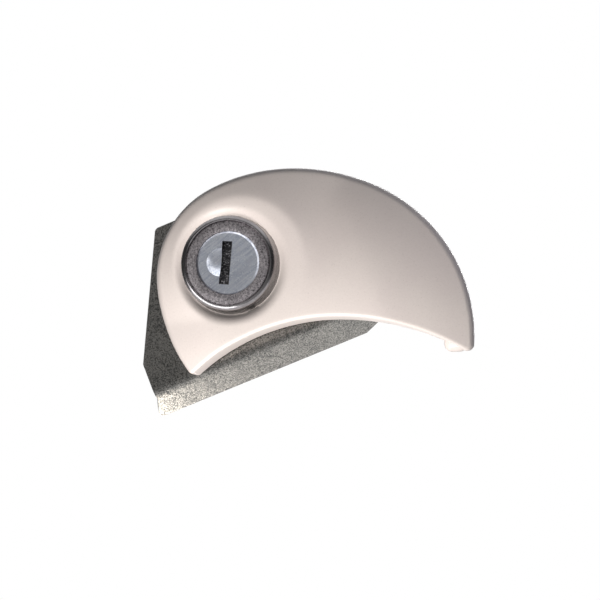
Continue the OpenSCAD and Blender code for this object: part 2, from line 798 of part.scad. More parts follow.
module dust_shutter() color("#1d1e20") stand() slot_frame() translate([hinge_x, 0, hinge_h]) difference() {
    union() {
        translate([0, -barrel_l / 2, 0]) rotate([-90, 0, 0]) cylinder(r = barrel_r, h = barrel_l);
        span([0, -barrel_l / 2, -shutter_t / 2], [shutter_root + eps, barrel_l / 2, shutter_t / 2]);
        span([shutter_root, -shutter_l / 2, -shutter_t / 2], [shutter_reach, shutter_l / 2,
            shutter_t / 2]);
    }
    translate([0, -far / 2, 0]) rotate([-90, 0, 0]) cylinder(r = shutter_pin_r + run_gap, h = far);
}

module shutter_pin() color("#8d9095") stand() slot_frame()
    translate([hinge_x, -shutter_room_l / 2 - shutter_pin_over, hinge_h]) rotate([-90, 0, 0])
        cylinder(r = shutter_pin_r, h = shutter_room_l + 2 * shutter_pin_over);

module shutter_spring() color("#b8bcc2") stand() slot_frame()
    translate([hinge_x, barrel_l / 2 + slide_gap, hinge_h]) rotate([-90, 0, 0])
        coil(shutter_coil_r, shutter_wire, shutter_coil_l, shutter_curls);

module locking_bolt() color("#8f9297") stand() difference() {
    intersection() {
        span([-bolt_tail, -bolt_w / 2, slide_back + run_gap],
            [bolt_nose, bolt_w / 2, slide_back + run_gap + bolt_t]);
        cylinder(r = bolt_nose, h = far);
    }
    crank_cut();
}

// Slot in the bolt that the crank pin works in
module crank_cut() {
    reach = crank_e * cos(crank_dir - 90);
    low = crank_e * sin(crank_dir) - crank_play;
    high = crank_e + crank_play;
    r = crank_r + slide_gap;
    translate([-reach, 0, -eps]) {
        translate([-r, low, 0]) cube([2 * r, high - low, far]);
        for (y = [low, high]) translate([0, y, 0]) cylinder(r = r, h = far);
    }
}

module wafer(i) color("#c8a24a") stand() slot_frame()
    translate([0, 0, wafer_h - i * wafer_pitch - wafer_t / 2]) difference() {
        union() {
            intersection() {
                translate([-wafer_w / 2, -wafer_reach, 0]) cube([wafer_w, 2 * wafer_reach, wafer_t]);
                cylinder(r = wafer_reach, h = wafer_t);
            }
            translate([lug_in - lug_root, -lug_half, 0]) cube([lug_w + lug_root, 2 * lug_half, wafer_t]);
        }
        low = -slot_l / 2 - window_low + window_step * (i % 3);
        translate([slot_off - slot_w / 2 - window_side, low, -eps])
            cube([slot_w + 2 * window_side, slot_l + window_low, wafer_t + 2 * eps]);
    }

module wafer_spring(i) color("#b8bcc2") stand() slot_frame()
    translate([lug_in + lug_w / 2, spring_y, wafer_h - i * wafer_pitch]) rotate([-90, 0, 0])
        coil(spring_r, spring_wire, spring_top - spring_y, spring_curls);

// Least gap between neighbouring curls of each spring, measured on the rings' points
function curl_gap(r, wire, h, curls) = let(rise = (h - 2 * wire) / curls)
    min([for (i = [0:8]) norm([r * (cos(45 * i) - 1), r * sin(45 * i), rise * (1 + i / 8)]) - 2 * wire]);
echo(wafer_spring_gap = curl_gap(spring_r, spring_wire, spring_top - spring_y, spring_curls));
echo(shutter_spring_gap = curl_gap(shutter_coil_r, shutter_wire, shutter_coil_l, shutter_curls));

mounting_bracket();
stop_pin();
glide_washer();
disc_spring();
thrust_washer();
cover();
tip_buffer();
lock_housing();
head_gasket();
bezel();
index_pin();
tooth_washer();
housing_nut();
retaining_ring();
end_cap();
end_cap_screws();
plug();
plug_face();
plug_ring();
dust_shutter();
shutter_pin();
shutter_spring();
locking_bolt();
for (i = [0:wafer_count - 1]) {
    wafer(i);
    wafer_spring(i);
}
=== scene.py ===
"""Looks of a crescent flap lock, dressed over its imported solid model.

Shapes are drawn lying down in millimetres, with x to the right, y up and z towards the viewer.
They are stood against the wall plane, in metres, when a piece is finished.
"""
import json
import logging
import math
from dataclasses import dataclass
from enum import Enum
from functools import cache
from typing import Callable

import bmesh
import bpy
import numpy as np
from mathutils import Matrix, Vector
from mathutils.kdtree import KDTree


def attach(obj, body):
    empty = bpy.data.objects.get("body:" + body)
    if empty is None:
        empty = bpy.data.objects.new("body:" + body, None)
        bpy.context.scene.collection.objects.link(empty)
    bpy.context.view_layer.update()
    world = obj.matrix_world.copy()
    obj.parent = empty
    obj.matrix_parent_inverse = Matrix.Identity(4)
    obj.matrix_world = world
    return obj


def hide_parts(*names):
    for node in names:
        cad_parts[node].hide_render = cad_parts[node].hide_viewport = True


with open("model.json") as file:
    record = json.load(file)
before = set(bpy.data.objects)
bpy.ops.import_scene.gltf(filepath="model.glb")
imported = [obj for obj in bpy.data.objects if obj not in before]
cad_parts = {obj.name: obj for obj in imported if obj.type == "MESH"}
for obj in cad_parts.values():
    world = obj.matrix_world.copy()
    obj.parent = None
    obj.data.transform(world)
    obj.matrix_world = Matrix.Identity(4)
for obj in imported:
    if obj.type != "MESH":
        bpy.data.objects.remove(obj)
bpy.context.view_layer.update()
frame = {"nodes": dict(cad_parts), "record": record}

Socket = bpy.types.NodeSocket
Outputs = bpy.types.bpy_prop_collection
Tree = bpy.types.NodeTree
Node = bpy.types.Node
Material = bpy.types.Material
Mesh = bmesh.types.BMesh
Vert = bmesh.types.BMVert
Array = np.ndarray
Names = tuple[str, ...]
Span = tuple[float, float]
Point = tuple[float, float, float]

MM = 0.001
STAND = Matrix.Rotation(math.pi / 2, 4, "X") @ Matrix.Scale(MM, 4)
SEATED = Matrix.Scale(1 / MM, 4) @ Matrix.Rotation(-math.pi / 2, 4, "X")
# Lengths in millimetres: spacing of points along an arc, and the gap under which points count as one.
ARC_STEP = 0.1
MERGE = 1e-4
# Angles in degrees: past the first an edge is crisp, and under the second two faces are one flat.
CRISP = 30.0
FLAT = 0.3
LOG = logging.getLogger("flap_lock")


def linear(colour: str) -> tuple[float, float, float, float]:
    """Turns an sRGB hex colour into linear light.

    Args:
        colour: Six hex digits after a hash sign.

    Returns:
        Red, green, blue and an alpha of 1.
    """
    parts = [int(colour[i:i + 2], 16) / 255 for i in (1, 3, 5)]
    red, green, blue = [c / 12.92 if c <= 0.04045 else ((c + 0.055) / 1.055) ** 2.4 for c in parts]
    return red, green, blue, 1.0


def per_mm(size: float) -> float:
    """Returns the texture scale at which a pattern repeats about every size millimetres."""
    return 1 / (size * MM)


def add_node(tree: Tree, kind: str, settings: dict, links: dict | None = None) -> Outputs:
    """Adds a shader node with its settings and links.

    Args:
        tree: The node tree that gets the node.
        kind: The node's type name, without ShaderNode in front.
        settings: Values by property name, or by input name or number.
        links: Output sockets by input name or number.

    Returns:
        The new node's outputs, by name or number.
    """
    node = tree.nodes.new(f"ShaderNode{kind}")
    for key, value in settings.items():
        if isinstance(key, str) and hasattr(node, key):
            setattr(node, key, value)
        else:
            node.inputs[key].default_value = value
    for key, socket in (links or {}).items():
        tree.links.new(socket, node.inputs[key])
    return node.outputs


def seen_rays(tree: Tree) -> Socket:
    """Marks the rays that the eye follows straight, in a mirror or through glass.

    Args:
        tree: The tree of the world or of the floor.

    Returns:
        1 for such a ray, and 0 for a ray that has left a dull surface.
    """
    ray = add_node(tree, "LightPath", {})
    seen = ray["Is Camera Ray"]
    larger = {"operation": "MAXIMUM"}
    for other in ("Is Glossy Ray", "Is Transmission Ray"):
        seen = add_node(tree, "Math", larger, {0: seen, 1: ray[other]})[0]
    sharp = add_node(tree, "Math", {"operation": "LESS_THAN", 1: 0.5}, {0: ray["Diffuse Depth"]})
    return add_node(tree, "Math", {"operation": "MULTIPLY"}, {0: seen, 1: sharp[0]})[0]


class Lay(Enum):
    """How a tool has left its lines on a metal."""

    NONE = "none"
    TURNED = "turned"
    BRUSHED = "brushed"


@dataclass(frozen=True)
class Pattern:
    """A cloudy pattern with patches of size millimetres.

    Noise from low to high is stretched to 0 to 1, and detail is its number of finer octaves.
    """

    size: float
    low: float
    high: float
    detail: float = 2.0

    def lay(self, tree: Tree, place: Socket) -> Socket:
        """Adds the pattern to a material.

        Args:
            tree: The material's tree.
            place: Object coordinates.

        Returns:
            The pattern's value, from 0 to 1.
        """
        scale = {"Scale": per_mm(self.size), "Detail": self.detail}
        cloud = add_node(tree, "TexNoise", scale, {"Vector": place})["Fac"]
        return add_node(tree, "MapRange", {1: self.low, 2: self.high}, {0: cloud})[0]


@dataclass(frozen=True)
class Finish:
    """What all finishes share: a name, and a principled shader with tints and a relief."""

    name: str

    def start(self) -> tuple[Material, Tree, Node, Socket]:
        """Starts a material.

        Returns:
            The material, its tree, its principled shader and the object coordinates.
        """
        material = bpy.data.materials.new(self.name)
        material.use_nodes = True
        tree = material.node_tree
        shader = next(n for n in tree.nodes if n.type == "BSDF_PRINCIPLED")
        place = add_node(tree, "TexCoord", {})["Object"]
        return material, tree, shader, place

    def tint(self, tree: Tree, colour: str | Socket, over: str, pattern: Socket,
             share: float = 1.0) -> Socket:
        """Lays a colour over another where a pattern is high.

        Args:
            tree: The material's tree.
            colour: The colour below, as hex or a socket.
            over: The colour on top, as hex.
            pattern: The pattern's value, from 0 to 1.
            share: How much of the top colour shows where the pattern is 1.

        Returns:
            The tinted colour.
        """
        part = add_node(tree, "MapRange", {4: share}, {0: pattern})[0]
        settings = {"data_type": "RGBA", 7: linear(over)}
        links = {0: part}
        if isinstance(colour, str):
            settings[6] = linear(colour)
        else:
            links[6] = colour
        return add_node(tree, "Mix", settings, links)[2]

    def close(self, tree: Tree, shader: Node, colour: Socket, rough: Socket, strength: float,
              layers: list[tuple[Socket, float]]) -> None:
        """Links the colour and the roughness, and adds a relief to the surface.

        Args:
            tree: The material's tree.
            shader: Its principled shader.
            colour: Its colour.
            rough: Its roughness.
            strength: How strongly the relief shades, from 0 to 1.
            layers: Patterns of the relief, one on another, each with its height in millimetres.
        """
        links = {"Base Color": colour, "Roughness": rough}
        for pattern, height in layers:
            under = {"Normal": links["Normal"]} if "Normal" in links else {}
            settings = {"Strength": strength, "Distance": height * MM}
            links["Normal"] = add_node(tree, "Bump", settings, {"Height": pattern} | under)[0]
        for name, socket in links.items():
            tree.links.new(socket, shader.inputs[name])


@dataclass(frozen=True)
class MetalFinish(Finish):
    """A bare or plated metal, with soft patches, specks and the lines of its making.

    Real grit and tool lines are finer than the render's pixels, which are about 0.27 mm wide. They are
    drawn 0.2 to 0.4 mm wide, so that they show.
    """

    base: str
    patch: str
    speck: str
    patch_mm: float = 6.0
    patch_span: Span = (0.35, 0.65)
    patch_detail: float = 3.0
    speck_mm: float = 0.4
    speck_from: float = 0.55
    speck_step: float = 0.12
    speck_depth: float = 0.0
    rough: Span = (0.3, 0.4)
    lay: Lay = Lay.NONE
    lay_mm: float = 0.3
    lay_depth: float = 0.0
    lay_detail: float = 3.0
    lay_turn: float = 38.0
    lay_stretch: float = 0.05
    lay_wander: float = 0.4
    lay_rough: float = 0.12
    stroke_span: Span = (0.42, 0.66)
    stroke_share: float = 0.45
    relief: float = 0.5
    # Painted shade: heights in millimetres over which the colour darkens towards the back, its colour and
    # strength.
    painted_shade_heights: Span | None = None
    painted_shade_tone: str = "#2E2B2B"
    painted_shade_share: float = 0.8

    def lines(self, tree: Tree, place: Socket) -> Socket:
        """Adds the tool's lines: rings round the swing axis, or straight strokes.

        Args:
            tree: The material's tree.
            place: Object coordinates.

        Returns:
            The lines' height, from 0 to 1.
        """
        settings = {"Scale": per_mm(self.lay_mm), "Detail": self.lay_detail}
        if self.lay is Lay.TURNED:
            flat = add_node(tree, "VectorMath", {"operation": "MULTIPLY", 1: (1, 0, 1)}, {0: place})
            radius = add_node(tree, "VectorMath", {"operation": "LENGTH"}, {0: flat[0]})
            settings["noise_dimensions"] = "1D"
            links = {"W": radius["Value"]}
        else:
            slant = {"Rotation": (0, math.radians(self.lay_turn), 0)}
            turned = add_node(tree, "Mapping", slant, {"Vector": place})
            stretched = add_node(tree, "Mapping", {"Scale": (self.lay_stretch, 1, 1)}, {"Vector": turned[0]})
            settings["Distortion"] = self.lay_wander
            links = {"Vector": stretched[0]}
        return add_node(tree, "TexNoise", settings, links)["Fac"]

    def build(self) -> Material:
        """Builds the finish.

        Returns:
            The material.
        """
        material, tree, shader, place = self.start()
        shader.inputs["Metallic"].default_value = 1.0
        patches = Pattern(self.patch_mm, *self.patch_span, self.patch_detail).lay(tree, place)
        specks = Pattern(self.speck_mm, self.speck_from, self.speck_from + self.speck_step).lay(tree, place)
        colour = self.tint(tree, self.base, self.patch, patches)
        colour = self.tint(tree, colour, self.speck, specks)
        rough = add_node(tree, "MapRange", {3: self.rough[0], 4: self.rough[1]}, {0: patches})[0]
        layers = []
        # Painted shade: the colour darkens towards the back between two heights, where the dish shades a
        # ring's side.
        if self.painted_shade_heights:
            low, high = self.painted_shade_heights
            depth = add_node(tree, "SeparateXYZ", {}, {0: place})["Y"]
            painted_shade_mask = add_node(tree, "MapRange", {1: -high * MM, 2: -low * MM}, {0: depth})[0]
            colour = self.tint(tree, colour, self.painted_shade_tone, painted_shade_mask, self.painted_shade_share)
        if self.lay is not Lay.NONE:
            lines = self.lines(tree, place)
            low, high = self.stroke_span
            strokes = add_node(tree, "MapRange", {1: low, 2: high}, {0: lines})[0]
            colour = self.tint(tree, colour, self.speck, strokes, self.stroke_share)
            rough = add_node(tree, "Math", {"operation": "MULTIPLY_ADD", 1: self.lay_rough},
                             {0: lines, 2: rough})[0]
            layers.append((lines, self.lay_depth))
        if self.speck_depth:
            layers.append((specks, self.speck_depth))
        self.close(tree, shader, colour, rough, self.relief, layers)
        return material


@dataclass(frozen=True)
class GalvanisedFinish(Finish):
    """Hot-dipped zinc on steel sheet: angular spangles, a sandy speckle, matt grey bloom and pits.

    Real grains are finer than a pixel. They are drawn 0.3 mm wide, so that they show.
    """

    base: str = "#5E5F5E"
    spangle: str = "#797977"
    bloom: str = "#BFBBB5"
    pit: str = "#3D3B3A"
    spangle_mm: float = 2.2
    spangle_share: float = 0.6
    sand_mm: float = 0.3
    sand_share: float = 0.75
    blooms: Pattern = Pattern(7.0, 0.45, 0.75, 4.0)
    bloom_share: float = 0.35
    pits: Pattern = Pattern(0.3, 0.60, 0.64, 0.0)
    pit_share: float = 0.6
    rough: Span = (0.28, 0.42)
    relief: Span = (0.5, 0.05)

    def build(self) -> Material:
        """Builds the finish.

        Returns:
            The material.
        """
        material, tree, shader, place = self.start()
        shader.inputs["Metallic"].default_value = 1.0
        tones = []
        for size, channel in ((self.spangle_mm, 0), (self.sand_mm, 1)):
            cells = add_node(tree, "TexVoronoi", {"Scale": per_mm(size)}, {"Vector": place})
            parts = add_node(tree, "SeparateColor", {}, {0: cells["Color"]})
            tones.append(parts[channel])
        spangles, sand = tones
        colour = self.tint(tree, self.base, self.spangle, spangles, self.spangle_share)
        colour = self.tint(tree, colour, self.bloom, sand, self.sand_share)
        colour = self.tint(tree, colour, self.bloom, self.blooms.lay(tree, place), self.bloom_share)
        colour = self.tint(tree, colour, self.pit, self.pits.lay(tree, place), self.pit_share)
        rough = add_node(tree, "MapRange", {3: self.rough[0], 4: self.rough[1]}, {0: sand})[0]
        self.close(tree, shader, colour, rough, self.relief[0], [(sand, self.relief[1])])
        return material


@dataclass(frozen=True)
class EnamelFinish(Finish):
    """Sprayed satin enamel on a zinc casting: a faint orange peel, dust specks and a warm drift."""

    base: str = "#F1E9E5"
    drift: str = "#EDE4E1"
    dust: str = "#CDC4C0"
    drifts: Pattern = Pattern(18.0, 0.35, 0.65)
    dusts: Pattern = Pattern(0.35, 0.63, 0.72)
    dust_share: float = 0.35
    peel: Pattern = Pattern(0.6, 0.3, 0.7, 3.0)
    peel_share: float = 0.12
    rough: Span = (0.40, 0.48)
    specular: float = 0.45
    relief: Span = (0.25, 0.012)

    def build(self) -> Material:
        """Builds the finish.

        Returns:
            The material.
        """
        material, tree, shader, place = self.start()
        shader.inputs["Specular IOR Level"].default_value = self.specular
        drifts = self.drifts.lay(tree, place)
        peel = self.peel.lay(tree, place)
        colour = self.tint(tree, self.base, self.drift, drifts)
        colour = self.tint(tree, colour, self.dust, peel, self.peel_share)
        colour = self.tint(tree, colour, self.dust, self.dusts.lay(tree, place), self.dust_share)
        rough = add_node(tree, "MapRange", {3: self.rough[0], 4: self.rough[1]}, {0: drifts})[0]
        self.close(tree, shader, colour, rough, self.relief[0], [(peel, self.relief[1])])
        return material


@dataclass(frozen=True)
class MouldedFinish(Finish):
    """A moulded rubber or plastic: even colour with a fine mould grain and a dusty bloom.

    The real grain is finer than a pixel. It is drawn 0.3 mm wide, so that it shows.
    """

    base: str
    bloom: str
    rough: Span
    blooms: Pattern = Pattern(3.0, 0.4, 0.7, 3.0)
    grain: Pattern = Pattern(0.3, 0.3, 0.7)
    relief: Span = (0.3, 0.02)

    def build(self) -> Material:
        """Builds the finish.

        Returns:
            The material.
        """
        material, tree, shader, place = self.start()
        grain = self.grain.lay(tree, place)
        colour = self.tint(tree, self.base, self.bloom, self.blooms.lay(tree, place))
        rough = add_node(tree, "MapRange", {3: self.rough[0], 4: self.rough[1]}, {0: grain})[0]
        self.close(tree, shader, colour, rough, self.relief[0], [(grain, self.relief[1])])
        return material


FINISHES: dict[str, Finish] = {finish.name: finish for finish in (
    # Zinc dipped steel looks sandy and grey, with faint crystals.
    GalvanisedFinish("galvanised_steel"),
    # Stove enamel on the cast cover is creamy, satin and almost without gloss.
    EnamelFinish("cream_enamel"),
    # Turned mild steel keeps a soft sheen with fine rings.
    MetalFinish("bright_steel", "#B4B6B8", "#A2A5A9", "#8B8D90", rough=(0.28, 0.38), lay=Lay.TURNED,
                lay_depth=0.01),
    # Hardened and blued spring steel is dark with brown and blue patches.
    MetalFinish("spring_steel", "#4A4C51", "#57524E", "#6A6C70", rough=(0.32, 0.45)),
    # Moulded nylon is milky and matt.
    MouldedFinish("nylon", "#E2DFD6", "#D5D1C6", (0.5, 0.62)),
    # Moulded rubber is near black and dry.
    MouldedFinish("buffer_rubber", "#262628", "#333336", (0.72, 0.85)),
    # A blasted zinc casting is dull and dark grey with fine specks.
    MetalFinish("housing_zinc", "#CBC4C6", "#837E81", "#3B383B", patch_mm=0.6, speck_mm=0.35, speck_from=0.54,
                rough=(0.42, 0.55), speck_depth=0.03),
    # Bright chrome plate over a turned ring mirrors its room with a trace of tool rings. Its side has painted
    # shade, darker towards the dish, where the dish shades it.
    MetalFinish("bezel_chrome", "#A19E9F", "#8E8A8C", "#6F6C6E", speck_from=0.62, rough=(0.14, 0.22),
                lay=Lay.TURNED, lay_mm=0.2, lay_depth=0.004, painted_shade_heights=(13.2, 16.0)),
    # Bright zinc plate on turned parts is pale with a yellow cast.
    MetalFinish("nut_zinc", "#B3B1A6", "#A3A297", "#8C8B82", rough=(0.3, 0.42), lay=Lay.TURNED,
                lay_depth=0.012),
    # Nickel plate over a brushed face is blue grey with straight strokes and stray scratches.
    MetalFinish("plug_nickel", "#D6DAE6", "#BAC0CE", "#F8FAFD", patch_mm=1.6, speck_mm=0.35, speck_from=0.58,
                rough=(0.24, 0.36), lay=Lay.BRUSHED, lay_mm=0.32, lay_depth=0.05),
    # Chemically blackened steel is nearly black, with bright worn specks.
    MetalFinish("shutter_black", "#1B1B1D", "#2A2A2C", "#A9A8AC", speck_mm=0.35, speck_from=0.56,
                rough=(0.4, 0.55)),
    # Stamped brass is yellow, with dull brown tarnish.
    MetalFinish("wafer_brass", "#C6A355", "#AD8A43", "#D9BD7C", rough=(0.25, 0.4), lay=Lay.BRUSHED,
                lay_depth=0.01),
    # Drawn stainless wire is bright and smooth.
    MetalFinish("spring_wire", "#C2C4C8", "#B2B4B9", "#9C9EA3", rough=(0.2, 0.28)),
    # Ground steel has short straight strokes.
    MetalFinish("bolt_steel", "#9C9EA3", "#8C8E94", "#B5B7BB", rough=(0.25, 0.35), lay=Lay.BRUSHED,
                lay_depth=0.012),
)}


@cache
def paint(name: str) -> Material:
    """Builds a finish the first time that it is asked for, and returns its material."""
    return FINISHES[name].build()


def soft_max(a: Array, b: Array, soft: float) -> Array:
    """Returns the larger of two heights, with a rounded crossing soft millimetres wide."""
    return (a + b + np.sqrt((a - b) ** 2 + soft * soft)) / 2


def soft_min(a: Array, b: Array, soft: float) -> Array:
    """Returns the smaller of two heights, with a rounded crossing soft millimetres wide."""
    return (a + b - np.sqrt((a - b) ** 2 + soft * soft)) / 2


def heading(angle: float) -> Array:
    """Returns the unit vector in a direction given in degrees."""
    return np.array([math.cos(math.radians(angle)), math.sin(math.radians(angle))])


def bearing(v: Array, least: float = 0.0) -> float:
    """Returns a vector's direction in degrees, in the turn that starts at least."""
    return (math.degrees(math.atan2(v[1], v[0])) - least) % 360 + least


def arc(centre: Array, radius: float, start: float, end: float) -> Array:
    """Returns evenly spaced points along an arc between two directions in degrees."""
    count = max(3, int(abs(math.radians(end - start)) * radius / ARC_STEP))
    return np.array([centre + radius * heading(a) for a in np.linspace(start, end, count)])


def crossing(a: Array, ra: float, b: Array, rb: float, side: int) -> Array:
    """Finds where two circles cross.

    Args:
        a: First centre.
        ra: First radius.
        b: Second centre.
        rb: Second radius.
        side: 1 or -1, for the crossing left or right of the way from a to b.

    Returns:
        The crossing point.
    """
    apart = float(np.linalg.norm(b - a))
    way = (b - a) / apart
    foot = (apart * apart + ra * ra - rb * rb) / (2 * apart)
    return a + foot * way + side * math.sqrt(ra * ra - foot * foot) * np.array([-way[1], way[0]])


def along(line: Array, fractions: Array) -> Array:
    """Returns the points of a line at fractions of its length."""
    steps = np.r_[0, np.cumsum(np.linalg.norm(np.diff(line, axis=0), axis=1))]
    return np.c_[[np.interp(fractions * steps[-1], steps, line[:, k]) for k in (0, 1)]].T


def mesh_object(name: str, bm: Mesh) -> bpy.types.Object:
    """Makes an object of a mesh and puts it into the scene.

    Args:
        name: The object's name.
        bm: The mesh. It is freed.

    Returns:
        The object.
    """
    mesh = bpy.data.meshes.new(name)
    bm.to_mesh(mesh)
    bm.free()
    thing = bpy.data.objects.new(name, mesh)
    bpy.context.scene.collection.objects.link(thing)
    return thing


def finish_piece(name: str, bm: Mesh, body: str, finish: str, node: str, sharp: float = 32.0) -> None:
    """Stands a drawn piece up, hangs it on its body and hides the solid that it stands for.

    Args:
        name: The piece's name.
        bm: Its mesh, lying down, in millimetres. It is freed here.
        body: The body it rides on.
        finish: Its finish.
        node: The solid that it stands for.
        sharp: Angle in degrees past which an edge is shaded crisp.
    """
    for edge in bm.edges:
        edge.smooth = edge.calc_face_angle(0.0) < math.radians(sharp)
    for face in bm.faces:
        face.smooth = True
    bmesh.ops.transform(bm, matrix=STAND, verts=bm.verts)
    piece = mesh_object(name, bm)
    piece.data.materials.append(paint(finish))
    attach(piece, body)
    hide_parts(node)
    LOG.info("%s: %d faces on %s, in %s", name, len(piece.data.polygons), body, finish)


def ease(bm: Mesh, width: float, segments: int = 2) -> None:
    """Bevels every crisp edge of a mesh.

    Args:
        bm: The mesh.
        width: Bevel width in the mesh's own unit.
        segments: Faces across the bevel.
    """
    crisp = [e for e in bm.edges if e.is_manifold and e.calc_face_angle(0.0) > math.radians(CRISP)]
    bmesh.ops.bevel(bm, geom=crisp, offset=width, offset_type="OFFSET", segments=segments, profile=0.5,
                    affect="EDGES", clamp_overlap=True, material=-1)


def eased_copy(node: str, width: float) -> Mesh:
    """Copies a solid's mesh, lying down, and breaks its sharp edges.

    Args:
        node: The solid's name.
        width: Width of the broken edge in millimetres.

    Returns:
        The copy in millimetres.
    """
    bm = bmesh.new()
    bm.from_mesh(frame["nodes"][node].data)
    bmesh.ops.remove_doubles(bm, verts=bm.verts, dist=MERGE * MM)
    bmesh.ops.transform(bm, matrix=SEATED, verts=bm.verts)
    bmesh.ops.dissolve_limit(bm, angle_limit=math.radians(FLAT), verts=bm.verts, edges=bm.edges)
    ease(bm, width)
    return bm


def spun(profile: list[Span], steps: int) -> Mesh:
    """Spins a closed profile round the lock's axis.

    Args:
        profile: Radius and height of its corners, in order round the section.
        steps: Faces round the ring.

    Returns:
        The closed ring.
    """
    bm = bmesh.new()
    verts = [bm.verts.new((r, 0, h)) for r, h in profile]
    edges = [bm.edges.new((verts[i - 1], v)) for i, v in enumerate(verts)]
    bmesh.ops.spin(bm, geom=verts + edges, cent=(0, 0, 0), axis=(0, 0, 1), angle=2 * math.pi, steps=steps,
                   use_merge=True)
    bmesh.ops.remove_doubles(bm, verts=bm.verts, dist=MERGE)
    bmesh.ops.recalc_face_normals(bm, faces=bm.faces)
    return bm


def carve(target: Mesh, tools: list[tuple[Mesh, str]]) -> Mesh:
    """Joins closed shapes to a mesh, or cuts them out of it, and closes what gaps that leaves.

    Args:
        target: The mesh to work on. It is freed.
        tools: Shapes, which are freed, each with UNION or DIFFERENCE.

    Returns:
        The worked mesh.
    """
    things = [mesh_object("tool", bm) for bm in (target, *(bm for bm, _ in tools))]
    work, *others = things
    for other, (_, operation) in zip(others, tools):
        step = work.modifiers.new("step", "BOOLEAN")
        step.operation = operation
        step.object = other
        step.solver = "EXACT"
    bpy.context.view_layer.update()
    result = bmesh.new()
    result.from_object(work, bpy.context.evaluated_depsgraph_get())
    bmesh.ops.dissolve_degenerate(result, edges=result.edges, dist=MERGE)
    gaps = [edge for edge in result.edges if edge.is_boundary]
    if gaps:
        bmesh.ops.holes_fill(result, edges=gaps, sides=0)
    for thing in things:
        mesh = thing.data
        bpy.data.objects.remove(thing)
        bpy.data.meshes.remove(mesh)
    return result


def block(low: Point, high: Point, turn: float = 0.0, round_by: float = 0.0, segments: int = 2) -> Mesh:
    """Makes a block between two corners, with rounded edges if asked.

    Args:
        low: Its lowest corner before the turn.
        high: Its highest corner before the turn.
        turn: Turn round the lock's axis in degrees.
        round_by: Radius of its edges.
        segments: Faces across each rounded edge.

    Returns:
        The block.
    """
    bm = bmesh.new()
    bmesh.ops.create_cube(bm, size=1.0)
    a, b = Vector(low), Vector(high)
    bmesh.ops.scale(bm, vec=b - a, verts=bm.verts)
    bmesh.ops.translate(bm, vec=(a + b) / 2, verts=bm.verts)
    if round_by:
        ease(bm, round_by, segments)
    bmesh.ops.rotate(bm, cent=(0, 0, 0), matrix=Matrix.Rotation(math.radians(turn), 3, "Z"), verts=bm.verts)
    return bm


